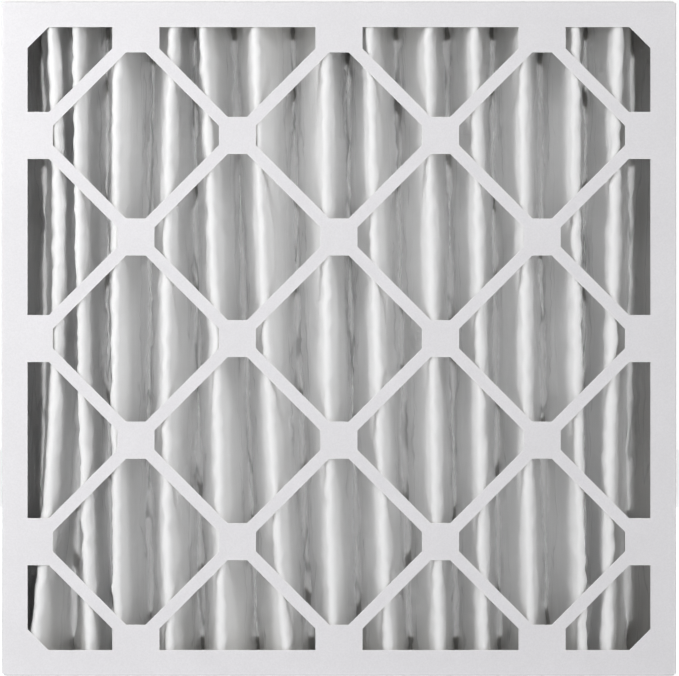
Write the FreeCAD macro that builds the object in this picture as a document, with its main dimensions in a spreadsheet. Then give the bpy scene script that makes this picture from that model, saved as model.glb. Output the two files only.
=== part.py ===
import FreeCAD, Part
import math
import os
import Sketcher

# A square pleated panel air filter for a duct or an air handler, standing on its bottom wall.
# Two folded trays of coated board, one inside the other, hold a deep pack of one pleated
# nonwoven sheet. Each tray's face is die-cut to a lattice of diamonds whose straps are glued
# to the pleat tips.
# Millimetres. X runs to the right, Y from the front face to the back, Z up. The origin is
# under the middle of the bottom wall.

SIZES = {
    # The frame
    "frame_width": 495.3,
    "frame_height": 495.3,
    "frame_depth": 95.25,
    "board": 0.75,  # thickness of the board
    "fold_radius": 1.5,  # outside radius of a folded edge
    "glue_gap": 0.1,  # between two plies of board that are glued together
    "tray_lip": 1.0,  # how far the front tray's walls stop short of the back face
    "corner_tab": 28.0,  # length of a corner's glue tab
    "tab_setback": 3.0,  # from a tab's edges to the ends of its wall
    "ply_end_gap": 2.0,  # from the back tray's side walls to the front tray's tabs
    # The die-cut lattice
    "border": 19.05,  # from the frame's outside to the openings
    "bar_width": 9.1,
    "knot": 27.15,  # the square where two bars cross
    "edge_overlap": 5.0,  # from the outermost lattice line to the border's edge
    "edge_tab": 34.5,  # the border tab between two openings at the edge
    "corner_cut": 15.4,  # the cut across a corner opening's outer corner
    "diamonds_across": 3,
    "diamonds_up": 3,
    # The adhesive
    "film": 0.25,  # on the back of the lattice, where the pleat tips touch it
    "film_inset": 2.5,  # from a strap's cut edge to the film's
    "end_seal": 0.6,  # over the pleats' cut ends, top and bottom
    "side_bead": 0.4,  # between the sheet's end flaps and the side walls
    # The pleated sheet
    "media": 1.6,  # thickness of the nonwoven sheet
    "tip_radius": 2.5,  # of a fold, to the middle of the sheet
    "left_end_span": 38.0,  # from the left wall to the first front fold's even place
    "right_end_span": 44.5,  # from the last front fold's even place to the right wall
    "flap": 36.0,  # length of the sheet's end flap, flat along a side wall
    "flap_bend": 6.0,  # from mid-depth towards the front, where a flap leaves its wall
    "waist_height": 276.0,  # where the folds' middle course is given
}

# How far each front fold stands off its even place, in shares of the pitch, at three heights.
FOLDS_AT_TOP = (-0.17, -0.59, -0.68, -0.49, -0.87, -0.73, -0.20, -0.26, 0.00, -0.01, 0.06, 0.18, 0.11)
FOLDS_AT_WAIST = (0.00, -0.50, -0.74, -0.64, -0.60, -0.52, -0.18, -0.12, 0.09, 0.11, 0.10, 0.21, 0.00)
FOLDS_AT_FOOT = (-0.58, -0.28, -0.69, -0.56, -0.45, -0.04, -0.02, 0.16, 0.26, 0.19, 0.23, 0.35, -0.13)

doc = FreeCAD.newDocument("PleatedPanelFilter")
sheet = doc.addObject("Spreadsheet::Sheet", "Sizes")
for row, (alias, value) in enumerate(SIZES.items(), start=1):
    sheet.set(f"A{row}", alias.replace("_", " "))
    sheet.set(f"B{row}", str(value))
    sheet.setAlias(f"B{row}", alias)
doc.recompute()

# Expressions that several sub-parts share
PLY = "(Sizes.board + Sizes.glue_gap)"
PITCH_X = "((Sizes.frame_width / 2 - Sizes.border - Sizes.edge_overlap) / Sizes.diamonds_across)"
PITCH_Z = "((Sizes.frame_height / 2 - Sizes.border - Sizes.edge_overlap) / Sizes.diamonds_up)"
INSIDE_X = f"(Sizes.frame_width / 2 - {PLY} - Sizes.board)"
INSIDE_Z = f"(Sizes.frame_height / 2 - {PLY} - Sizes.board)"
PACK_DEPTH = "(Sizes.frame_depth - 2 * Sizes.board - 2 * Sizes.film)"


def plane(body, role):
    """The body's own origin plane or axis of that role."""
    return next(f for f in body.Origin.OriginFeatures if f.Role == role)


def outline(body, name, role, corners, arcs=None):
    """A closed sketch through corners, each a pair of expressions, with every place bound.

    arcs gives the radius and the centre, as expressions, of the side after a corner.
    """
    arcs = arcs or {}
    sketch = body.newObject("Sketcher::SketchObject", name)
    sketch.AttachmentSupport = (plane(body, role), [""])
    sketch.MapMode = "FlatFace"
    points = [FreeCAD.Vector(*(sketch.evalExpression(e) for e in c), 0) for c in corners]
    starts = []
    for i, point in enumerate(points):
        following = points[(i + 1) % len(points)]
        if i in arcs:
            starts.append(add_arc(sketch, point, following, arcs[i]))
        else:
            sketch.addGeometry(Part.LineSegment(point, following))
            starts.append(1)
    for i, start in enumerate(starts):
        j = (i + 1) % len(starts)
        sketch.addConstraint(Sketcher.Constraint("Coincident", i, 3 - start, j, starts[j]))
        for kind, expression, value in zip(("DistanceX", "DistanceY"), corners[i], points[i]):
            bind(sketch, Sketcher.Constraint(kind, -1, 1, i, start, value), expression)
    for i, (radius, _) in arcs.items():
        value = sketch.evalExpression(radius)
        bind(sketch, Sketcher.Constraint("Radius", i, value), radius)
    return sketch


def add_arc(sketch, start, end, arc):
    """An arc of less than half a turn from start to end. Returns which of its ends is the start."""
    radius, centre = arc
    middle = FreeCAD.Vector(*(sketch.evalExpression(e) for e in centre), 0)
    first, last = (math.atan2(p.y - middle.y, p.x - middle.x) for p in (start, end))
    turns_left = math.sin(last - first) > 0
    circle = Part.Circle(middle, FreeCAD.Vector(0, 0, 1), sketch.evalExpression(radius))
    span = (first, last) if turns_left else (last, first)
    sketch.addGeometry(Part.ArcOfCircle(circle, *span))
    return 1 if turns_left else 2


def bind(sketch, constraint, expression):
    """Adds a constraint whose value follows an expression."""
    index = sketch.addConstraint(constraint)
    sketch.setExpression(f"Constraints[{index}]", expression)


def pad(body, sketch, length, symmetric=False, against_normal=False):
    feature = body.newObject("PartDesign::Pad", f"{sketch.Name}_pad")
    feature.Profile = sketch
    feature.SideType = "Symmetric" if symmetric else "One side"
    feature.Reversed = against_normal
    feature.setExpression("Length", length)
    return feature


def pocket(body, sketch, depth):
    feature = body.newObject("PartDesign::Pocket", f"{sketch.Name}_cut")
    feature.Profile = sketch
    feature.setExpression("Length", depth)
    return feature


def row(body, name, role, step, count):
    """Copies in a row along an origin axis of the body."""
    pattern = body.newObject("PartDesign::LinearPattern", name)
    pattern.Direction = (plane(body, role), [""])
    pattern.Mode = "Spacing"
    pattern.setExpression("Offset", step)
    pattern.setExpression("Occurrences", count)
    return pattern


def image(body, name, role):
    """A mirror image in an origin plane of the body."""
    mirrored = body.newObject("PartDesign::Mirrored", name)
    mirrored.MirrorPlane = (plane(body, role), [""])
    return mirrored


def copies(body, feature, steps):
    """Copies a feature by one pattern or mirror after another."""
    multiple = body.newObject("PartDesign::MultiTransform", f"{feature.Name}_copies")
    multiple.Originals = [feature]
    multiple.Transformations = steps
    body.Tip = multiple
    return multiple


def mirrored_both_ways(body, feature):
    names = (f"{feature.Name}_left", f"{feature.Name}_below")
    roles = ("YZ_Plane", "XY_Plane")
    return copies(body, feature, [image(body, name, role) for name, role in zip(names, roles)])


class Lattice:
    """The die-cut openings, with straps narrower by inset at each edge."""

    def __init__(self, inset):
        self.inset = inset
        bar = f"(Sizes.bar_width / 2 - {inset})"
        knot = f"(Sizes.knot / 2 - {inset})"
        tab = f"(Sizes.edge_tab / 2 - {inset})"
        slope = f"hypot({PITCH_X}; {PITCH_Z})"
        # Half of a diamond from corner to corner, and where knots and border tabs cut it
        self.reach_x = f"({PITCH_X} - {bar} * {slope} / {PITCH_Z})"
        self.reach_z = f"({PITCH_Z} - {bar} * {slope} / {PITCH_X})"
        self.knot_x = f"({PITCH_X} - {knot})"
        self.knot_z = f"({PITCH_Z} - {knot})"
        self.tab_x = f"({PITCH_X} - {tab})"
        self.tab_z = f"({PITCH_Z} - {tab})"
        self.over = f"(Sizes.edge_overlap + {inset})"
        self.cut = f"(Sizes.corner_cut - {inset} * (2 - sqrt(2)))"

    def height_at(self, x):
        """How high a diamond's side is, that far from its middle."""
        return f"({self.reach_z} * (1 - {x} / {self.reach_x}))"

    def width_at(self, z):
        return f"({self.reach_x} * (1 - {z} / {self.reach_z}))"


def moved(points, x, z):
    return [(f"{x} + {px}", f"{z} + {pz}") for px, pz in points]


def cut_lattice(body, thickness, inset="0"):
    """Cuts all openings of a face: diamonds on two grids, half ones at the edges, and the corners."""
    lattice = Lattice(inset)
    across, up = "Sizes.diamonds_across", "Sizes.diamonds_up"
    step_x, step_z = f"2 * {PITCH_X}", f"2 * {PITCH_Z}"
    side_z, top_x = lattice.height_at(lattice.knot_x), lattice.width_at(lattice.knot_z)
    diamond = [
        (lattice.knot_x, side_z),
        (top_x, lattice.knot_z),
        (f"-{top_x}", lattice.knot_z),
        (f"-{lattice.knot_x}", side_z),
        (f"-{lattice.knot_x}", f"-{side_z}"),
        (f"-{top_x}", f"-{lattice.knot_z}"),
        (top_x, f"-{lattice.knot_z}"),
        (lattice.knot_x, f"-{side_z}"),
    ]
    for name, fewer in (("outer_diamonds", 1), ("inner_diamonds", 2)):
        places = moved(diamond, f"-({across} - {fewer}) * {PITCH_X}", f"-({up} - {fewer}) * {PITCH_Z}")
        cut = pocket(body, outline(body, name, "XZ_Plane", places), thickness)
        along = row(body, f"{name}_across", "X_Axis", step_x, f"{across} + 1 - {fewer}")
        upward = row(body, f"{name}_up", "Z_Axis", step_z, f"{up} + 1 - {fewer}")
        copies(body, cut, [along, upward])
    top_edge = [
        (lattice.tab_x, lattice.over),
        (lattice.tab_x, f"-{lattice.height_at(lattice.tab_x)}"),
        (top_x, f"-{lattice.knot_z}"),
        (f"-{top_x}", f"-{lattice.knot_z}"),
        (f"-{lattice.tab_x}", f"-{lattice.height_at(lattice.tab_x)}"),
        (f"-{lattice.tab_x}", lattice.over),
    ]
    places = moved(top_edge, f"-({across} - 2) * {PITCH_X}", f"{up} * {PITCH_Z}")
    cut = pocket(body, outline(body, "top_edge_openings", "XZ_Plane", places), thickness)
    along = row(body, "top_edge_row", "X_Axis", step_x, f"{across} - 1")
    copies(body, cut, [along, image(body, "bottom_edge_row", "XY_Plane")])
    side_edge = [
        (lattice.over, lattice.tab_z),
        (f"-{lattice.width_at(lattice.tab_z)}", lattice.tab_z),
        (f"-{lattice.knot_x}", side_z),
        (f"-{lattice.knot_x}", f"-{side_z}"),
        (f"-{lattice.width_at(lattice.tab_z)}", f"-{lattice.tab_z}"),
        (lattice.over, f"-{lattice.tab_z}"),
    ]
    places = moved(side_edge, f"{across} * {PITCH_X}", f"-({up} - 2) * {PITCH_Z}")
    cut = pocket(body, outline(body, "side_edge_openings", "XZ_Plane", places), thickness)
    upward = row(body, "right_edge_row", "Z_Axis", step_z, f"{up} - 1")
    copies(body, cut, [upward, image(body, "left_edge_row", "YZ_Plane")])
    corner = [
        (f"-{lattice.tab_x}", lattice.over),
        (f"-{lattice.tab_x}", f"-{lattice.height_at(lattice.tab_x)}"),
        (f"-{lattice.width_at(lattice.tab_z)}", f"-{lattice.tab_z}"),
        (lattice.over, f"-{lattice.tab_z}"),
        (lattice.over, f"({lattice.over} - {lattice.cut})"),
        (f"({lattice.over} - {lattice.cut})", lattice.over),
    ]
    places = moved(corner, f"{across} * {PITCH_X}", f"{up} * {PITCH_Z}")
    cut = pocket(body, outline(body, "corner_openings", "XZ_Plane", places), thickness)
    mirrored_both_ways(body, cut)


def rectangle(half_x, half_z):
    return [
        (half_x, half_z),
        (f"-{half_x}", half_z),
        (f"-{half_x}", f"-{half_z}"),
        (half_x, f"-{half_z}"),
    ]


def wall_section(half, end):
    """A fold and the wall behind it, as (across, depth) places on the side where across grows."""
    middle = f"({half} - Sizes.fold_radius)"
    inner = f"({half} - Sizes.board)"
    places = [
        (middle, "0"),
        (half, "Sizes.fold_radius"),
        (half, end),
        (inner, end),
        (inner, "Sizes.fold_radius"),
        (middle, "Sizes.board"),
    ]
    arcs = {
        0: ("Sizes.fold_radius", (middle, "Sizes.fold_radius")),
        4: ("(Sizes.fold_radius - Sizes.board)", (middle, "Sizes.fold_radius")),
    }
    return places, arcs


def swapped(places, arcs):
    """The same section with its two directions changed round."""
    turned = {i: (radius, centre[::-1]) for i, (radius, centre) in arcs.items()}
    return [place[::-1] for place in places], turned


def tray(name, half_x, half_z, wall_end, side_reach, top_reach):
    """A folded tray whose face lies in y = 0 and whose walls run to wall_end.

    side_reach and top_reach are half of the side walls' height and half of the top and bottom
    walls' width.
    """
    body = doc.addObject("PartDesign::Body", name)
    flat = rectangle(f"({half_x} - Sizes.fold_radius)", f"({half_z} - Sizes.fold_radius)")
    pad(body, outline(body, "face", "XZ_Plane", flat), "Sizes.board", against_normal=True)
    side = outline(body, "side_wall", "XY_Plane", *wall_section(half_x, wall_end))
    side_pad = pad(body, side, f"2 * {side_reach}", symmetric=True)
    copies(body, side_pad, [image(body, "left_wall", "YZ_Plane")])
    top = outline(body, "top_wall", "YZ_Plane", *swapped(*wall_section(half_z, wall_end)))
    top_pad = pad(body, top, f"2 * {top_reach}", symmetric=True)
    copies(body, top_pad, [image(body, "bottom_wall", "XY_Plane")])
    return body


def add_corner_tabs(body, half_x, half_z, wall_end):
    """Glue tabs that fold from the ends of the top and bottom walls, behind the side walls."""
    bend_x = f"({half_x} - Sizes.fold_radius)"
    bend_z = f"({half_z} - Sizes.fold_radius)"
    inner_x = f"({half_x} - Sizes.board)"
    inner_z = f"({half_z} - Sizes.board)"
    foot = f"({half_z} - Sizes.corner_tab)"
    places = [
        (bend_x, half_z),
        (half_x, bend_z),
        (half_x, foot),
        (inner_x, foot),
        (inner_x, bend_z),
        (bend_x, inner_z),
    ]
    arcs = {
        0: ("Sizes.fold_radius", (bend_x, bend_z)),
        4: ("(Sizes.fold_radius - Sizes.board)", (bend_x, bend_z)),
    }
    section = outline(body, "corner_tab", "XZ_Plane", places, arcs)
    start = "(Sizes.fold_radius + Sizes.tab_setback)"
    section.setExpression("AttachmentOffset.Base.z", f"-{start}")
    length = f"{wall_end} - {start} - Sizes.tab_setback"
    tab = pad(body, section, length, against_normal=True)
    mirrored_both_ways(body, tab)


def make_front_frame():
    half_x, half_z = "(Sizes.frame_width / 2)", "(Sizes.frame_height / 2)"
    end = "(Sizes.frame_depth - Sizes.tray_lip)"
    tab_face = f"({half_x} - {PLY})"
    top_reach = f"({tab_face} - Sizes.fold_radius)"
    body = tray("front_frame", half_x, half_z, end, f"({half_z} - Sizes.fold_radius)", top_reach)
    add_corner_tabs(body, tab_face, half_z, end)
    cut_lattice(body, "Sizes.board")
    body.setExpression("Placement.Base.y", "-Sizes.frame_depth / 2")
    body.setExpression("Placement.Base.z", "Sizes.frame_height / 2")
    return body


def make_rear_frame():
    """The same tray one ply smaller, turned round and slid into the front one."""
    half_x = f"(Sizes.frame_width / 2 - {PLY})"
    half_z = f"(Sizes.frame_height / 2 - {PLY})"
    end = "(Sizes.frame_depth - Sizes.fold_radius)"
    side_reach = "(Sizes.frame_height / 2 - Sizes.corner_tab - Sizes.ply_end_gap)"
    top_reach = f"({half_x} - Sizes.fold_radius - Sizes.board)"
    body = tray("rear_frame", half_x, half_z, end, side_reach, top_reach)
    cut_lattice(body, "Sizes.board")
    body.Placement = FreeCAD.Placement(FreeCAD.Vector(), FreeCAD.Rotation(180, 0, 0))
    body.setExpression("Placement.Base.y", "Sizes.frame_depth / 2")
    body.setExpression("Placement.Base.z", "Sizes.frame_height / 2")
    return body


def make_front_strap_glue():
    """The film on the back of the front lattice, narrower than the straps."""
    body = doc.addObject("PartDesign::Body", "front_strap_glue")
    flat = rectangle(f"({INSIDE_X} - Sizes.fold_radius)", f"({INSIDE_Z} - Sizes.fold_radius)")
    pad(body, outline(body, "film", "XZ_Plane", flat), "Sizes.film", against_normal=True)
    cut_lattice(body, "Sizes.film", "Sizes.film_inset")
    body.setExpression("Placement.Base.y", "Sizes.board - Sizes.frame_depth / 2")
    body.setExpression("Placement.Base.z", "Sizes.frame_height / 2")
    return body


def make_rear_strap_glue(front):
    """The same film on the back lattice."""
    image_of_front = doc.addObject("Part::Mirroring", "rear_strap_glue")
    image_of_front.Source = front
    image_of_front.Normal = FreeCAD.Vector(0, 1, 0)
    return image_of_front


def make_block(name, size, low):
    """A plain slab of adhesive, with expressions for its three sizes and its lowest corner."""
    block = doc.addObject("Part::Box", name)
    for key, expression in zip(("Length", "Width", "Height"), size):
        block.setExpression(key, expression)
    for key, expression in zip("xyz", low):
        block.setExpression(f"Placement.Base.{key}", expression)
    return block


def make_end_seal(name, low_z):
    """The adhesive that closes the pleats' cut ends against the bottom or top wall."""
    depth = "(Sizes.frame_depth - 2 * Sizes.fold_radius)"
    return make_block(
        name, (f"2 * {INSIDE_X}", depth, "Sizes.end_seal"), (f"-{INSIDE_X}", f"-{depth} / 2", low_z)
    )


def make_side_bead(name, low_x):
    """The adhesive between one end flap of the pleated sheet and its side wall."""
    height = f"2 * ({INSIDE_Z} - Sizes.end_seal)"
    low_z = f"Sizes.frame_height / 2 - {height} / 2"
    return make_block(
        name, ("Sizes.side_bead", "Sizes.flap", height), (low_x, "-Sizes.flap_bend - Sizes.flap", low_z)
    )


class Bend:
    """A fold of the sheet: the middle of its arc, and 1 where it turns left or -1 where right."""

    def __init__(self, x, y, turn):
        self.centre = FreeCAD.Vector(x, y, 0)
        self.turn = turn


def bends_of_pack(shares):
    """Every bend of the sheet from the left wall's flap to the right wall's, at one height."""
    inside = sheet.evalExpression(INSIDE_X)
    depth = sheet.evalExpression(PACK_DEPTH) / 2
    radius, half = sheet.tip_radius, sheet.media / 2
    tip = depth - half - radius
    pitch = (2 * inside - sheet.left_end_span - sheet.right_end_span) / (len(shares) - 1)
    first = sheet.left_end_span - inside
    fronts = [first + (k + share) * pitch for k, share in enumerate(shares)]
    wall = inside - sheet.side_bead - half
    marks = [-wall, *fronts, wall]
    backs = [(a + b) / 2 for a, b in zip(marks, marks[1:])]
    bends = [Bend(radius - wall, -sheet.flap_bend, -1), Bend(backs[0], tip, -1)]
    for front, back in zip(fronts, backs[1:]):
        bends += [Bend(front, -tip, 1), Bend(back, tip, -1)]
    return bends + [Bend(wall - radius, -sheet.flap_bend, -1)]


def side_of(direction):
    """The unit vector to the right of a direction."""
    return FreeCAD.Vector(direction.y, -direction.x, 0)


def directions_between(bends):
    """The sheet's direction before, between and after its bends."""
    forward = [FreeCAD.Vector(0, 1, 0)]
    for a, b in zip(bends, bends[1:]):
        span = b.centre - a.centre
        lean = math.asin((a.turn - b.turn) * sheet.tip_radius / span.Length)
        heading = math.atan2(span.y, span.x) + lean
        forward.append(FreeCAD.Vector(math.cos(heading), math.sin(heading), 0))
    return forward + [FreeCAD.Vector(0, -1, 0)]


def face_of_sheet(bends, directions, offset):
    """The edges of one face of the sheet, offset to the right of its middle, from left to right."""
    edges = []
    shift = side_of(directions[0]) * (offset - sheet.tip_radius)
    at = bends[0].centre + shift - directions[0] * sheet.flap
    for bend, before, after in zip(bends, directions, directions[1:]):
        radius = bend.turn * sheet.tip_radius + offset
        start, end = (bend.centre + side_of(d) * radius for d in (before, after))
        halfway = bend.centre + (side_of(before) + side_of(after)).normalize() * radius
        edges.append(Part.LineSegment(at, start).toShape())
        edges.append(Part.Arc(start, halfway, end).toShape())
        at = end
    edges.append(Part.LineSegment(at, at + directions[-1] * sheet.flap).toShape())
    return edges


def section_of_pack(name, shares, height):
    """The closed outline of the sheet at one height."""
    bends = bends_of_pack(shares)
    directions = directions_between(bends)
    half = sheet.media / 2
    right, left = (face_of_sheet(bends, directions, offset) for offset in (half, -half))
    ends = [
        Part.LineSegment(right[i].Vertexes[k].Point, left[i].Vertexes[k].Point).toShape()
        for i, k in ((-1, -1), (0, 0))
    ]
    wire = Part.Wire(Part.__sortEdges__([*right, ends[0], *left[::-1], ends[1]]))
    section = doc.addObject("Part::Feature", name)
    section.Shape = wire
    section.Placement = FreeCAD.Placement(FreeCAD.Vector(0, 0, height), FreeCAD.Rotation())
    return section


def make_pleated_media():
    """The one pleated sheet, ruled from fold course to fold course."""
    rise = sheet.evalExpression(f"{INSIDE_Z} - Sizes.end_seal")
    middle = sheet.frame_height / 2
    pack = doc.addObject("Part::Loft", "pleated_media")
    pack.Sections = [
        section_of_pack("pleats_at_foot", FOLDS_AT_FOOT, middle - rise),
        section_of_pack("pleats_at_waist", FOLDS_AT_WAIST, sheet.waist_height),
        section_of_pack("pleats_at_top", FOLDS_AT_TOP, middle + rise),
    ]
    pack.Solid = True
    pack.Ruled = True
    return pack


front_glue = make_front_strap_glue()
seal_top = f"Sizes.frame_height / 2 + {INSIDE_Z} - Sizes.end_seal"
sub_parts = [
    make_front_frame(),
    make_rear_frame(),
    make_pleated_media(),
    front_glue,
    make_rear_strap_glue(front_glue),
    make_end_seal("bottom_end_seal", f"Sizes.frame_height / 2 - {INSIDE_Z}"),
    make_end_seal("top_end_seal", seal_top),
    make_side_bead("left_side_bead", f"-{INSIDE_X}"),
    make_side_bead("right_side_bead", f"{INSIDE_X} - Sizes.side_bead"),
]
doc.recompute()

for thing in doc.Objects:
    if {"Invalid", "Error"} & set(thing.State):
        raise RuntimeError(f"{thing.Name} failed: {thing.State}")
for part in sub_parts:
    if part.Shape.isNull() or not part.Shape.isValid() or len(part.Shape.Solids) != 1:
        raise RuntimeError(f"{part.Label} isn't one valid solid")

os.makedirs("parts", exist_ok=True)
for part in sub_parts:
    part.Shape.exportStep(f"parts/{part.Label}.step")
    box = part.Shape.BoundBox
    print(f"{part.Label}: {part.Shape.Volume / 1000:.2f} cm3, {box.XLength:.2f} x {box.YLength:.2f}"
          f" x {box.ZLength:.2f} mm")
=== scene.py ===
import math

import bpy
from bpy.props import FloatProperty, FloatVectorProperty, IntProperty, PointerProperty
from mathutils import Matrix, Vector, noise


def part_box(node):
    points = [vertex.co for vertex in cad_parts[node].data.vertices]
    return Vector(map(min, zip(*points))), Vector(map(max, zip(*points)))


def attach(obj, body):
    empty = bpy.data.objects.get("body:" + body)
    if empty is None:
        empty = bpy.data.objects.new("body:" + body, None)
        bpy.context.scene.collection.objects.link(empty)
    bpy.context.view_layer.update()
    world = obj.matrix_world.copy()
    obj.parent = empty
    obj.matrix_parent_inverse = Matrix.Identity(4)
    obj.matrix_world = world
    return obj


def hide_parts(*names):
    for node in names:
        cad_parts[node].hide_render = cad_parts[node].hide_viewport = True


bl_info = {
    "name": "Pleated Panel Air Filter",
    "version": (1, 0, 0),
    "blender": (4, 5, 0),
    "location": "3D View > Sidebar > Air Filter",
    "description": "Dresses a pleated panel air filter: board trays, pleated sheet and adhesive",
    "category": "Object",
}

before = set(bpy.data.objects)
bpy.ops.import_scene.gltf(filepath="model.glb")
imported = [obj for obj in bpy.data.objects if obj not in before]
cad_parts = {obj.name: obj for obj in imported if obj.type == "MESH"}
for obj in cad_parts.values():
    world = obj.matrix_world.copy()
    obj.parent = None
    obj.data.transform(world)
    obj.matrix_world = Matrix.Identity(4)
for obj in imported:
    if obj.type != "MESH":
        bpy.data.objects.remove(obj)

TRAYS = ("front_frame", "rear_frame")
ADHESIVE = (
    "front_strap_glue",
    "rear_strap_glue",
    "bottom_end_seal",
    "top_end_seal",
    "left_side_bead",
    "right_side_bead",
)

# Where each front fold runs, as shares of a pitch from an even spacing, left to right
FOLDS_AT_TOP = (
    -0.17, -0.59, -0.68, -0.49, -0.87, -0.73, -0.20, -0.26, 0.00, -0.01, 0.06, 0.18, 0.11
)
FOLDS_AT_WAIST = (
    0.00, -0.50, -0.74, -0.64, -0.60, -0.52, -0.18, -0.12, 0.09, 0.11, 0.10, 0.21, 0.00
)
FOLDS_AT_FOOT = (
    -0.58, -0.28, -0.69, -0.56, -0.45, -0.04, -0.02, 0.16, 0.26, 0.19, 0.23, 0.35, -0.13
)

# The net of the pleated sheet
FOLD_LEG = 1.5  # how far a fold's points reach along its flanks, in half widths of the fold
FOLD_FLAT = 0.8  # how much of a fold's width is flat before it is rounded
WALL_LEG = 2.0  # how far a flap bend reaches forwards on its wall, in half widths of a back fold
WALL_LIFT = 3.0  # how far it reaches backwards off its wall, likewise
FLANK_SHARES = (1 / 3, 2 / 3)  # where a flank has points between its bends
PINCH_SHIFT = 5.3  # from one back fold to the next in the noise that pinches them

# How the sheet strays: the noise's waves on X, Y and Z against its wave length, and its start
STRAYS = ("Wobble", "Wobble Length", "Ripple", "Ripple Length", "Crumple", "Crumple Length")
WOBBLE_WAVES = (1.3, 0.25, 1.0)
WOBBLE_START = 4.0
WOBBLE_DETAIL = 4.0
RIPPLE_WAVES = (0.6, 1.0, 0.16)
RIPPLE_START = 9.0
CRUMPLE_WAVES = (2.2, 0.6, 0.8)
CRUMPLE_START = 21.0
SEED_SHIFT = 13.7
GLUED_BAND = (0.243, 0.236)  # from the middle towards a side wall, where the sheet is glued
FOLD_BAND = (0.045, 0.038)  # from mid-depth towards the folds, where the flanks end
CRUMPLE_BAND = (0.0, 0.04)  # from mid-depth towards the back folds

# The looks. A band is where a smooth step starts and ends, and levels are what it goes between.
# A scale is in waves a metre, on all axes or on X, Y and Z.
WHITE = (1.0, 1.0, 1.0, 1.0)

BOARD_INSIDE_BAND = (0.002, -0.002)  # how far a face lies outwards from the middle
BOARD_FACE_DEPTH = 0.003  # how far behind a tray's face its die-cut edges are looked for
BOARD_FACE_BLUR = 0.0005
BOARD_EDGE_BAND = (0.6, 0.4)  # how much a face is turned to the front or the back
BOARD_CLOUD_SCALE = 22.0
BOARD_CLOUDS = ((0.35, 0.65), (0.0, 0.5))
BOARD_CLOUD_SHADE = 0.96
BOARD_GRAIN_BAND = (0.3, 0.7)
BOARD_GRAIN_SHADE = 0.8
BOARD_FLECK_SCALE = 900.0
BOARD_FLECK_STRETCH = (1, 1, 3)
BOARD_FLECK_BAND = (0.45, 0.7)
# The painted highlight along the rims of the die cuts, where their edges would catch the light
BOARD_RIM_BAND = (0.999, 0.93)  # how well a rounded normal agrees with the true one
BOARD_RIM_SHARE = 0.6
BOARD_RIM_HIGHLIGHT = (0.93, 0.93, 0.93, 1.0)
BOARD_ROUGHNESS = ((0.0, 1.0), (0.42, 0.85))  # from the coating to the liner

SHEET_DEPTH_BAND = (-0.046, 0.046)
STREAK_SCALE = (90, 90, 8)
STREAK_BAND = (0.42, 0.62)
# The streaks weigh more towards the back: the sheet's own streaks, with painted shade deeper in
# the pleats
STREAK_SHADE_DEPTHS = ((0.3, 0.9), (0.1, 0.6))
STREAK_SHADE = 0.86
STREAK_RELIEF = 3.0
FINE_SCALE = (700, 700, 60)
FINE_LINES = ((0.4, 0.7), (0.0, 0.15))
FUZZ_SCALE = 1400.0
FUZZ_RELIEF = 0.35
CREASE_SCALE = (38, 38, 7)
CREASE_BAND = (0.022, 0.0)  # how far the noise is from its middle
CREASE_DEPTH_BAND = (0.55, 0.8)
# How much painted shade the creases get, and how dark it is
CREASE_SHARE = 0.3
CREASE_SHADE = 0.35
CREASE_BLOCKS = 0.6  # how much of the light a crease keeps back
# Painted shade on the floors of the valleys
VALLEY_BAND = (-0.008, -0.036)  # depth times how much a face is turned to mid-depth
VALLEY_LEFT = ((-0.235, -0.12), (0.35, 1.0))
VALLEY_RIGHT = ((0.205, 0.225), (1.0, 0.5))
VALLEY_SHARE = 0.75
VALLEY_SHADE = 0.3
CLEAR_AT_FRONT = ((-0.042, -0.008), (0.35, 1.0))
CLEAR_AT_BACK = ((0.040, 0.046), (1.0, 0.7))

GLUE_CLOUD_SCALE = 140.0
GLUE_CLOUD_BAND = (0.35, 0.7)
GLUE_CLOUD_SHADE = 0.85
GLUE_WAVE_SCALE = 260.0

# The studio
FLOOR_SIZE = 8.0
FLOOR_SCALE = 6.0
FLOOR_TONES = ((0.80, 0.80, 0.81, 1.0), (0.84, 0.84, 0.85, 1.0))
FLOOR_GLOW = 0.6
# Each softbox: the setting with its power, its place from the front face's middle, its size
SOFTBOXES = {
    "left_softbox": ("key", (-0.9, -0.75, 0.5), 0.6),
    "right_softbox": ("fill", (3.0, -3.3, 0.6), 1.6),
    "front_softbox": ("front", (0.0, -1.6, 1.3), 0.6),
    "back_left_softbox": ("back_left", (-0.8, 1.8, 0.15), 1.0),
    "back_right_softbox": ("back_right", (0.8, 1.8, 0.15), 1.0),
}


def length_property(name, description, default):
    return FloatProperty(
        name=name, description=description, default=default, unit="LENGTH", precision=5
    )


def share_property(name, description, default):
    return FloatProperty(name=name, description=description, default=default, min=0, max=1)


def number_property(name, description, default):
    kind = IntProperty if isinstance(default, int) else FloatProperty
    return kind(name=name, description=description, default=default)


def colour_property(name, description, default):
    return FloatVectorProperty(
        name=name, description=description, default=default, subtype="COLOR", min=0, max=1
    )


class BoardSettings(bpy.types.PropertyGroup):
    coating: colour_property("Coating", "White coated side of the board", (0.79, 0.78, 0.80))
    liner: colour_property("Liner", "Bare inner side of the board", (0.53, 0.46, 0.38))
    core: colour_property("Core", "Fibres in the die-cut edges", (0.82, 0.81, 0.80))
    grain_size: length_property("Grain size", "Size of the paper's grain", 0.0012)
    grain_depth: share_property("Grain strength", "How much the grain shows", 0.3)
    # The width of the painted highlight along a die cut's rim
    edge_width: length_property("Edge width", "Width of the highlighted rim of a die cut", 0.0012)


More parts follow.
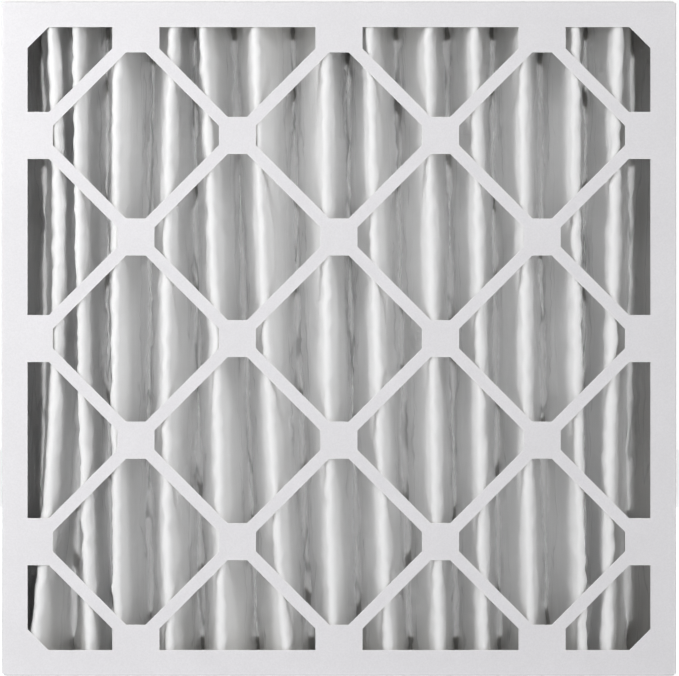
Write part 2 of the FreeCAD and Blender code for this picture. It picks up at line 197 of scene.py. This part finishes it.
class SheetSettings(bpy.types.PropertyGroup):
    thickness: length_property("Thickness", "Loft of the nonwoven", 0.0016)
    front_fold: length_property("Front fold", "Half the width of a front fold", 0.0028)
    end_fold: length_property(
        "End fold", "Half the width of the first and last front folds", 0.0034
    )
    back_fold: length_property("Back fold", "Half the width of a back fold", 0.0028)
    left_span: length_property("Left end span", "From the left wall to an even first fold", 0.038)
    right_span: length_property(
        "Right end span", "From an even last fold to the right wall", 0.0433
    )
    flap: length_property("Flap", "Length of the sheet glued to each side wall", 0.036)
    flap_bend: length_property(
        "Flap bend", "How far in front of the middle the flap leaves the wall", 0.006
    )
    waist: length_property(
        "Waist height", "Height at which the middle fold places are taken", 0.276
    )
    rows: number_property("Rows", "Rows of the coarse net up the sheet", 70)
    wobble: length_property("Wobble", "How far a fold strays from its course", 0.0027)
    wobble_length: length_property("Wobble length", "Length of one stray of a fold", 0.011)
    ripple: length_property("Ripple", "Height of the buckles in the flanks", 0.0009)
    ripple_length: length_property("Ripple length", "Length of a buckle across the flank", 0.02)
    crumple: length_property("Crumple", "How far a back fold strays from its course", 0.0020)
    crumple_length: length_property("Crumple length", "Length of one stray of a back fold", 0.03)
    pinch: share_property("Pinch", "How much a back fold pinches and opens", 0.9)
    pinch_length: length_property(
        "Pinch length", "From one pinch of a back fold to the next", 0.045
    )
    seed: number_property("Seed", "Picks another set of strays and buckles", 7)
    fibre: colour_property("Fibre", "Colour of the nonwoven", (0.97, 0.97, 0.97))


class AdhesiveSettings(bpy.types.PropertyGroup):
    colour: colour_property("Colour", "Colour of the set hot-melt", (0.72, 0.69, 0.60))


class StudioSettings(bpy.types.PropertyGroup):
    distance: length_property("Camera distance", "From the camera to the front face", 2.0)
    view_width: length_property(
        "View width", "Width that the picture shows at the front face", 0.49825
    )
    aim_x: length_property("Aim across", "How far right of the middle the camera looks", 0.0004)
    aim_z: length_property("Aim up", "Height above the middle at which the camera looks", 0.0004)
    key: number_property("Key", "Power of the left softbox in watts", 8.6)
    fill: number_property("Fill", "Power of the right softbox in watts", 57.0)
    front: number_property("Front", "Power of the softbox over the camera in watts", 4.5)
    back_left: number_property("Back left", "Power of the left softbox behind in watts", 21.0)
    back_right: number_property("Back right", "Power of the right softbox behind in watts", 14.0)
    sky: share_property("Sky", "Strength of the even light all round", 0.19)


class Tree:
    """A node tree with short ways to add nodes to it and wire them."""

    def __init__(self, tree):
        self.tree = tree

    def add(self, kind, *wires, **settings):
        """A new node with those settings. wires go into its first sockets in order."""
        node = self.tree.nodes.new(kind)
        for name, value in settings.items():
            setattr(node, name, value)
        for socket, value in zip(node.inputs, wires):
            self.put(socket, value)
        return node

    def put(self, socket, value):
        """Wires another socket to this one, or gives it a plain value."""
        if isinstance(value, bpy.types.NodeSocket):
            self.tree.links.new(value, socket)
        else:
            socket.default_value = value

    def set(self, node, **values):
        """Fills a node's sockets by name, with _ for a space."""
        for name, value in values.items():
            self.put(node.inputs[name.replace("_", " ")], value)
        return node

    def math(self, operation, *values):
        return self.add("ShaderNodeMath", *values, operation=operation).outputs[0]

    def product(self, first, *others):
        """All of its values multiplied."""
        for other in others:
            first = self.math("MULTIPLY", first, other)
        return first

    def vector_math(self, operation, *values):
        node = self.add("ShaderNodeVectorMath", *values, operation=operation)
        return node.outputs["Value" if operation == "DOT_PRODUCT" else "Vector"]

    def along(self, axis, vector):
        """A vector's part along an axis."""
        return self.add("ShaderNodeSeparateXYZ", vector).outputs[axis]

    def step(self, value, band, levels=(0.0, 1.0)):
        """A smooth step between two levels as the value goes through a band."""
        node = self.add("ShaderNodeMapRange", interpolation_type="SMOOTHSTEP")
        (start, end), (low, high) = band, levels
        self.set(node, Value=value, From_Min=start, From_Max=end, To_Min=low, To_Max=high)
        return node.outputs[0]

    def noise(self, at, scale=1.0, detail=2.0, roughness=0.5):
        node = self.add("ShaderNodeTexNoise")
        self.set(node, Vector=at, Scale=scale, Detail=detail, Roughness=roughness)
        return node.outputs[0]

    def blend(self, share, first, second):
        node = self.add("ShaderNodeMix", data_type="RGBA")
        sockets = {s.identifier: s for s in node.inputs}
        self.put(sockets["Factor_Float"], share)
        self.put(sockets["A_Color"], first)
        self.put(sockets["B_Color"], second)
        return next(s for s in node.outputs if s.identifier == "Result_Color")

    def stretch(self, at, scale):
        """A place with each axis multiplied, so a pattern there is that much finer."""
        return self.vector_math("MULTIPLY", at, scale)

    def bump(self, strength, distance, height):
        node = self.add("ShaderNodeBump")
        return self.set(node, Strength=strength, Distance=distance, Height=height).outputs[0]


def opaque(colour, shade=1.0):
    """A colour, darkened to that share of itself, as a socket takes it."""
    return (*(c * shade for c in colour), 1.0)


def new_material(name):
    """A material's tree, its surface shader and its object coordinates."""
    material = bpy.data.materials.new(name)
    material.use_nodes = True
    tree = Tree(material.node_tree)
    surface = material.node_tree.nodes["Principled BSDF"]
    at = tree.add("ShaderNodeTexCoord").outputs["Object"]
    return material, tree, surface, at


def dress(node, material):
    """Gives a CAD node its finished material."""
    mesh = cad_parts[node].data
    mesh.materials.clear()
    mesh.materials.append(material)


def board_material(settings):
    """White coated board: coating outside, bare liner inside, fibres in the die-cut edges."""
    material, tree, surface, at = new_material("coated_board")
    low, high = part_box("front_frame")
    from_middle = tree.vector_math("SUBTRACT", at, tuple((low + high) / 2))
    normal = tree.add("ShaderNodeNewGeometry").outputs["Normal"]
    outward = tree.vector_math("DOT_PRODUCT", from_middle, normal)
    inside = tree.step(outward, BOARD_INSIDE_BAND)

    depth = tree.math("ABSOLUTE", tree.along("Y", from_middle))
    facing = tree.math("ABSOLUTE", tree.along("Y", normal))
    face_start = (high.y - low.y) / 2 - BOARD_FACE_DEPTH
    on_face = tree.step(depth, (face_start, face_start + BOARD_FACE_BLUR))
    cut = tree.product(on_face, tree.step(facing, BOARD_EDGE_BAND))

    clouds = tree.noise(at, BOARD_CLOUD_SCALE, detail=3.0)
    grain = tree.noise(at, 1 / settings.grain_size, detail=4.0, roughness=0.65)
    coating = tree.blend(
        tree.step(clouds, *BOARD_CLOUDS),
        opaque(settings.coating),
        opaque(settings.coating, BOARD_CLOUD_SHADE),
    )
    grained = tree.step(grain, BOARD_GRAIN_BAND, (0.0, settings.grain_depth))
    coating = tree.blend(grained, coating, opaque(settings.coating, BOARD_GRAIN_SHADE))
    flecks = tree.noise(tree.stretch(at, BOARD_FLECK_STRETCH), BOARD_FLECK_SCALE)
    liner = tree.blend(
        tree.step(flecks, BOARD_FLECK_BAND),
        opaque(settings.liner),
        opaque(settings.liner, BOARD_GRAIN_SHADE),
    )

    # Painted highlight: the rims of the die cuts are lightened towards white, as if their edges
    # caught the light
    rounded = tree.add("ShaderNodeBevel", settings.edge_width, samples=4).outputs["Normal"]
    rim = tree.step(tree.vector_math("DOT_PRODUCT", rounded, normal), BOARD_RIM_BAND)
    colour = tree.blend(inside, coating, liner)
    colour = tree.blend(cut, colour, opaque(settings.core))
    colour = tree.blend(tree.product(rim, BOARD_RIM_SHARE), colour, BOARD_RIM_HIGHLIGHT)
    tree.set(
        surface,
        Base_Color=colour,
        Roughness=tree.step(inside, *BOARD_ROUGHNESS),
        Normal=tree.bump(strength=0.25, distance=0.0002, height=grain),
    )
    return material


def nonwoven_material(settings):
    """Grey-white nonwoven: drawn fibres, streaks along the folds, painted shade deep in the
    pleats, on the floors of the valleys and in the creases, a soft and clear body.
    """
    material, tree, surface, at = new_material("nonwoven")
    x, y = tree.along("X", at), tree.along("Y", at)
    depth = tree.step(y, SHEET_DEPTH_BAND)
    streaks = tree.noise(tree.stretch(at, STREAK_SCALE), detail=3.0, roughness=0.55)
    fine = tree.noise(tree.stretch(at, FINE_SCALE), detail=3.0, roughness=0.6)
    fuzz = tree.noise(at, FUZZ_SCALE, detail=3.0, roughness=0.7)
    lines = tree.noise(tree.stretch(at, CREASE_SCALE))
    lines = tree.math("ABSOLUTE", tree.math("SUBTRACT", lines, 0.5))
    crease = tree.product(tree.step(lines, CREASE_BAND), tree.step(depth, CREASE_DEPTH_BAND))

    # The nonwoven's own streaks, weighted so that they darken deeper in the pleats as painted
    # shade
    shaded = opaque(settings.fibre, STREAK_SHADE)
    streaks_and_depth_shade = tree.product(tree.step(streaks, STREAK_BAND), tree.step(depth, *STREAK_SHADE_DEPTHS))
    colour = tree.blend(streaks_and_depth_shade, opaque(settings.fibre), shaded)
    colour = tree.blend(tree.step(fine, *FINE_LINES), colour, shaded)

    # Painted shade on the floors of the valleys, lighter in the end valleys, where the white
    # walls cast light back
    normal = tree.add("ShaderNodeNewGeometry").outputs["Normal"]
    valley = tree.product(
        tree.step(tree.product(y, tree.along("Y", normal)), VALLEY_BAND),
        tree.step(x, *VALLEY_LEFT),
        tree.step(x, *VALLEY_RIGHT),
        VALLEY_SHARE,
    )
    colour = tree.blend(valley, colour, opaque(settings.fibre, VALLEY_SHADE))
    # Painted shade in the creases, deep in the sheet
    crease_shade = tree.product(crease, CREASE_SHARE)
    colour = tree.blend(crease_shade, colour, opaque(settings.fibre, CREASE_SHADE))

    # The pressed folds and the creases let less light through than the lofty flanks
    clear = tree.product(
        tree.step(y, *CLEAR_AT_FRONT),
        tree.step(y, *CLEAR_AT_BACK),
        tree.math("SUBTRACT", 1.0, tree.product(crease, CREASE_BLOCKS)),
    )
    height = tree.math(
        "ADD", tree.product(streaks, STREAK_RELIEF), tree.product(fuzz, FUZZ_RELIEF)
    )
    tree.set(
        surface,
        Base_Color=colour,
        Roughness=0.5,
        Subsurface_Weight=clear,
        Subsurface_Radius=(1.0, 1.0, 1.0),
        Subsurface_Scale=0.010,
        Sheen_Weight=0.15,
        Normal=tree.bump(strength=0.6, distance=0.0008, height=height),
    )
    return material


def adhesive_material(settings):
    """Set hot-melt: cloudy, smooth and a little wavy."""
    material, tree, surface, at = new_material("adhesive")
    clouds = tree.noise(at, GLUE_CLOUD_SCALE, detail=3.0)
    colour = tree.blend(
        tree.step(clouds, GLUE_CLOUD_BAND),
        opaque(settings.colour),
        opaque(settings.colour, GLUE_CLOUD_SHADE),
    )
    bump = tree.bump(strength=0.4, distance=0.0008, height=tree.noise(at, GLUE_WAVE_SCALE))
    tree.set(surface, Base_Color=colour, Roughness=0.3, Normal=bump)
    return material


def fold_course(settings, wall, height):
    """Where the front folds are at a height: a smooth curve through three measured places."""
    pitch = (2 * wall - settings.left_span - settings.right_span) / (len(FOLDS_AT_WAIST) - 1)
    first = settings.left_span - wall
    low, high = (corner.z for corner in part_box("pleated_media"))
    marks = (low, settings.waist, high)
    weights = [math.prod((height - b) / (a - b) for b in marks if b != a) for a in marks]
    shares = zip(FOLDS_AT_FOOT, FOLDS_AT_WAIST, FOLDS_AT_TOP)
    return [
        first + (k + sum(w * s for w, s in zip(weights, three))) * pitch
        for k, three in enumerate(shares)
    ]


def rounded_fold(x, y, half, inward):
    """Net points round a fold, left to right. inward is 1 where its flanks run to the back."""
    leg = inward * half * FOLD_LEG
    return [
        Vector((x - half, y + leg)),
        Vector((x - half * FOLD_FLAT, y)),
        Vector((x + half * FOLD_FLAT, y)),
        Vector((x + half, y + leg)),
    ]


def wall_bend(wall, y, radius, side):
    """Net points where a flap leaves its side wall. side is 1 at the left, -1 at the right."""
    bend = [
        Vector((wall, y - radius * WALL_LEG)),
        Vector((wall, y)),
        Vector((wall + side * radius, y + radius * WALL_LIFT)),
    ]
    return bend[::side]


def pinched(settings, fold, height):
    """Half the width of a back fold, which pinches and opens up the sheet."""
    place = Vector((fold * PINCH_SHIFT, height / settings.pinch_length, settings.seed))
    return settings.back_fold * (1.0 + settings.pinch * noise.noise(place))


def net_row(settings, height, half_width, half_depth):
    """One row of the coarse net: the sheet's section at a height, as points left to right."""
    fronts = fold_course(settings, half_width, height)
    marks = [-half_width, *fronts, half_width]
    backs = [(a + b) / 2 for a, b in zip(marks, marks[1:])]
    widths = [settings.end_fold, *[settings.front_fold] * (len(fronts) - 2), settings.end_fold]
    bends = [wall_bend(-half_width, -settings.flap_bend, settings.back_fold, 1)]
    bends.append(rounded_fold(backs[0], half_depth, pinched(settings, 0, height), -1))
    for fold, (front, back, width) in enumerate(zip(fronts, backs[1:], widths), start=1):
        bends.append(rounded_fold(front, -half_depth, width, 1))
        bends.append(rounded_fold(back, half_depth, pinched(settings, fold, height), -1))
    bends.append(wall_bend(half_width, -settings.flap_bend, settings.back_fold, -1))
    flap_end = -settings.flap_bend - settings.flap
    left, right = Vector((-half_width, flap_end)), Vector((half_width, flap_end))
    row = [left, left.lerp(bends[0][0], 0.5), *bends[0]]
    for before, after in zip(bends, bends[1:]):
        row += [before[-1].lerp(after[0], share) for share in FLANK_SHARES]
        row += after
    row += [right.lerp(bends[-1][-1], 0.5), right]
    return [Vector((p.x, p.y, height)) for p in row]


def section_size(settings):
    """Half the width and half the depth of the sheet's section, at the middle of its wall."""
    low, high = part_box("pleated_media")
    half_width = (high.x - low.x) / 2 - settings.thickness / 2
    half_depth = (high.y - low.y) / 2 - settings.thickness / 2
    return half_width, half_depth


def fold_net(settings):
    """The coarse net of the pleated sheet, as a mesh."""
    low, high = (corner.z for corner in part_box("pleated_media"))
    size = section_size(settings)
    rows = [
        net_row(settings, low + (high - low) * r / settings.rows, *size)
        for r in range(settings.rows + 1)
    ]
    wide = len(rows[0])
    faces = [
        (r * wide + c, r * wide + c + 1, (r + 1) * wide + c + 1, (r + 1) * wide + c)
        for r in range(settings.rows)
        for c in range(wide - 1)
    ]
    mesh = bpy.data.meshes.new("pleated_sheet")
    mesh.from_pydata([p for row in rows for p in row], [], faces)
    return mesh


def flat_length(settings):
    """How long the sheet is when it is unfolded, at the waist."""
    row = net_row(settings, settings.waist, *section_size(settings))
    return sum((b - a).length for a, b in zip(row, row[1:]))


def sheet_tree():
    """Geometry Nodes that make the sheet from its net: folds that stray, flanks that buckle."""
    group = bpy.data.node_groups.new("Pleated Sheet", "GeometryNodeTree")
    face = group.interface
    face.new_socket("Geometry", in_out="INPUT", socket_type="NodeSocketGeometry")
    for name in STRAYS:
        face.new_socket(name, in_out="INPUT", socket_type="NodeSocketFloat")
    face.new_socket("Seed", in_out="INPUT", socket_type="NodeSocketInt")
    face.new_socket("Material", in_out="INPUT", socket_type="NodeSocketMaterial")
    face.new_socket("Geometry", in_out="OUTPUT", socket_type="NodeSocketGeometry")
    tree = Tree(group)
    given = tree.add("NodeGroupInput").outputs
    fine = tree.add("GeometryNodeSubdivisionSurface", given["Geometry"], 1).outputs[0]
    at = tree.add("GeometryNodeInputPosition").outputs[0]
    x, y = tree.along("X", at), tree.along("Y", at)
    shift = tree.product(given["Seed"], SEED_SHIFT)

    def stray(name, waves, start, detail=2.0):
        """Signed noise as high as that input, with waves as long as its length says."""
        scaled = tree.add("ShaderNodeVectorMath", at, operation="SCALE")
        tree.put(scaled.inputs["Scale"], tree.math("DIVIDE", 1.0, given[name + " Length"]))
        seeded = tree.add("ShaderNodeCombineXYZ", start, shift, 0.0).outputs[0]
        place = tree.vector_math("ADD", tree.stretch(scaled.outputs[0], waves), seeded)
        signed = tree.math("MULTIPLY_ADD", tree.noise(place, detail=detail), 2.0, -1.0)
        return tree.product(signed, given[name])

    wobble = stray("Wobble", WOBBLE_WAVES, WOBBLE_START, WOBBLE_DETAIL)
    flank = tree.step(tree.math("ABSOLUTE", y), FOLD_BAND)
    ripple = tree.product(stray("Ripple", RIPPLE_WAVES, RIPPLE_START), flank)
    at_back = tree.step(y, CRUMPLE_BAND)
    crumple = tree.product(stray("Crumple", CRUMPLE_WAVES, CRUMPLE_START), at_back)
    # Only away from the side walls, where the sheet is glued flat
    free = tree.step(tree.math("ABSOLUTE", x), GLUED_BAND)
    across = tree.product(tree.math("ADD", tree.math("ADD", wobble, ripple), crumple), free)
    offset = tree.add("ShaderNodeCombineXYZ", across, 0.0, 0.0).outputs[0]
    moved = tree.set(tree.add("GeometryNodeSetPosition"), Geometry=fine, Offset=offset)
    smooth = tree.add("GeometryNodeSetShadeSmooth", moved.outputs[0]).outputs[0]
    real = tree.add("GeometryNodeRealizeInstances", smooth).outputs[0]
    done = tree.add("GeometryNodeSetMaterial")
    tree.set(done, Geometry=real, Material=given["Material"])
    tree.add("NodeGroupOutput", done.outputs[0])
    return group


def grown(name, mesh, tree, values, thickness):
    """A plain mesh piece, made from a start mesh by the node tree and given a wall."""
    start = bpy.data.objects.new(name + "_start", mesh)
    bpy.context.scene.collection.objects.link(start)
    nodes = start.modifiers.new("Shape", "NODES")
    nodes.node_group = tree
    for item in tree.interface.items_tree:
        if item.in_out == "INPUT" and item.name in values:
            nodes[item.identifier] = values[item.name]
    wall = start.modifiers.new("Wall", "SOLIDIFY")
    wall.thickness, wall.offset, wall.use_even_offset = thickness, 0.0, True
    depsgraph = bpy.context.evaluated_depsgraph_get()
    done = bpy.data.meshes.new_from_object(start.evaluated_get(depsgraph))
    bpy.data.objects.remove(start)
    piece = bpy.data.objects.new(name, done)
    bpy.context.scene.collection.objects.link(piece)
    return piece


class FILTER_OT_board_trays(bpy.types.Operator):
    """Give both folded trays their coated board"""

    bl_idname = "air_filter.board_trays"
    bl_label = "Board Trays"

    def execute(self, context):
        material = board_material(context.scene.filter_board)
        for name in TRAYS:
            dress(name, material)
        return {"FINISHED"}


class FILTER_OT_pleated_sheet(bpy.types.Operator):
    """Fold the nonwoven sheet into its pack of deep pleats"""

    bl_idname = "air_filter.pleated_sheet"
    bl_label = "Pleated Sheet"

    def execute(self, context):
        settings = context.scene.filter_sheet
        values = {
            name: getattr(settings, name.lower().replace(" ", "_")) for name in (*STRAYS, "Seed")
        }
        values["Material"] = nonwoven_material(settings)
        net = fold_net(settings)
        sheet = grown("pleated_sheet", net, sheet_tree(), values, settings.thickness)
        low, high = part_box("pleated_media")
        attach(sheet, "root")
        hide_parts("pleated_media")
        flat = (high.z - low.z, flat_length(settings))
        return {"FINISHED"}


class FILTER_OT_adhesive(bpy.types.Operator):
    """Give the strap glue, the end seals and the side beads their adhesive"""

    bl_idname = "air_filter.adhesive"
    bl_label = "Adhesive"

    def execute(self, context):
        material = adhesive_material(context.scene.filter_adhesive)
        for name in ADHESIVE:
            dress(name, material)
        return {"FINISHED"}


def aim(thing, target):
    """Points a lamp or the camera at a place."""
    thing.rotation_euler = (target - thing.location).to_track_quat("-Z", "Y").to_euler()


def lamp(name, place, target, size, power):
    """A square softbox that the camera doesn't see."""
    data = bpy.data.lights.new(name, "AREA")
    data.shape, data.size, data.energy = "SQUARE", size, power
    light = bpy.data.objects.new(name, data)
    light.location = place
    light.visible_camera = False
    bpy.context.scene.collection.objects.link(light)
    aim(light, target)


def seen_directly(tree):
    """1 where the camera sees a thing itself, or its image in gloss or glass, otherwise 0."""
    path = tree.add("ShaderNodeLightPath").outputs
    seen = tree.math("MAXIMUM", path["Is Camera Ray"], path["Is Glossy Ray"])
    return tree.math("MAXIMUM", seen, path["Is Transmission Ray"])


def floor_material():
    """Pale paint, plain white to the camera where no shadow falls."""
    material, tree, surface, at = new_material("pale_floor")
    tree.set(
        surface,
        Base_Color=tree.blend(tree.noise(at, FLOOR_SCALE), *FLOOR_TONES),
        Roughness=0.8,
        Emission_Color=WHITE,
        Emission_Strength=tree.product(seen_directly(tree), FLOOR_GLOW),
    )
    return material


def floor():
    """The studio floor, level with the filter's underside."""
    mesh = bpy.data.meshes.new("studio_floor")
    half = FLOOR_SIZE / 2
    corners = [(x * half, y * half, 0.0) for x, y in ((-1, -1), (1, -1), (1, 1), (-1, 1))]
    mesh.from_pydata(corners, [], [(0, 1, 2, 3)])
    mesh.materials.append(floor_material())
    ground = bpy.data.objects.new("studio_floor", mesh)
    bpy.context.scene.collection.objects.link(ground)


def set_sky(strength):
    """Even light all round, which the camera sees as plain white."""
    world = bpy.data.worlds.new("studio")
    bpy.context.scene.world = world
    world.use_nodes = True
    tree = Tree(world.node_tree)
    level = tree.step(seen_directly(tree), (0.0, 1.0), (strength, 1.0))
    tree.set(world.node_tree.nodes["Background"], Color=WHITE, Strength=level)


class FILTER_OT_studio(bpy.types.Operator):
    """Set the floor, the soft light and the camera"""

    bl_idname = "air_filter.studio"
    bl_label = "Studio"

    def execute(self, context):
        settings = context.scene.filter_studio
        low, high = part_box("front_frame")
        middle = Vector((0.0, low.y, (low.z + high.z) / 2))
        floor()
        for name, (power, place, size) in SOFTBOXES.items():
            lamp(name, middle + Vector(place), middle, size, getattr(settings, power))
        set_sky(settings.sky)
        data = bpy.data.cameras.new("camera")
        data.lens = data.sensor_width * settings.distance / settings.view_width
        camera = bpy.data.objects.new("camera", data)
        target = middle + Vector((settings.aim_x, 0.0, settings.aim_z))
        camera.location = target - Vector((0.0, settings.distance, 0.0))
        context.scene.collection.objects.link(camera)
        aim(camera, target)
        context.scene.camera = camera
        context.scene.view_settings.view_transform = "Standard"
        return {"FINISHED"}


OPERATORS = (
    FILTER_OT_board_trays,
    FILTER_OT_pleated_sheet,
    FILTER_OT_adhesive,
    FILTER_OT_studio,
)
SETTINGS = {
    "filter_board": BoardSettings,
    "filter_sheet": SheetSettings,
    "filter_adhesive": AdhesiveSettings,
    "filter_studio": StudioSettings,
}


class FILTER_PT_panel(bpy.types.Panel):
    """The pieces of the filter and their settings"""

    bl_idname = "FILTER_PT_panel"
    bl_label = "Pleated Panel Air Filter"
    bl_space_type = "VIEW_3D"
    bl_region_type = "UI"
    bl_category = "Air Filter"

    def draw(self, context):
        for operator, name in zip(OPERATORS, SETTINGS):
            box = self.layout.box()
            box.operator(operator.bl_idname)
            for setting in SETTINGS[name].__annotations__:
                box.prop(getattr(context.scene, name), setting)


def register():
    for cls in (*SETTINGS.values(), *OPERATORS, FILTER_PT_panel):
        bpy.utils.register_class(cls)
    for name, cls in SETTINGS.items():
        setattr(bpy.types.Scene, name, PointerProperty(type=cls))


def unregister():
    for name in SETTINGS:
        delattr(bpy.types.Scene, name)
    for cls in reversed((*SETTINGS.values(), *OPERATORS, FILTER_PT_panel)):
        bpy.utils.unregister_class(cls)


def main():
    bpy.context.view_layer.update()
    register()
    bpy.ops.air_filter.board_trays()
    bpy.ops.air_filter.pleated_sheet()
    bpy.ops.air_filter.adhesive()
    bpy.ops.air_filter.studio()


if __name__ == "__main__":
    main()
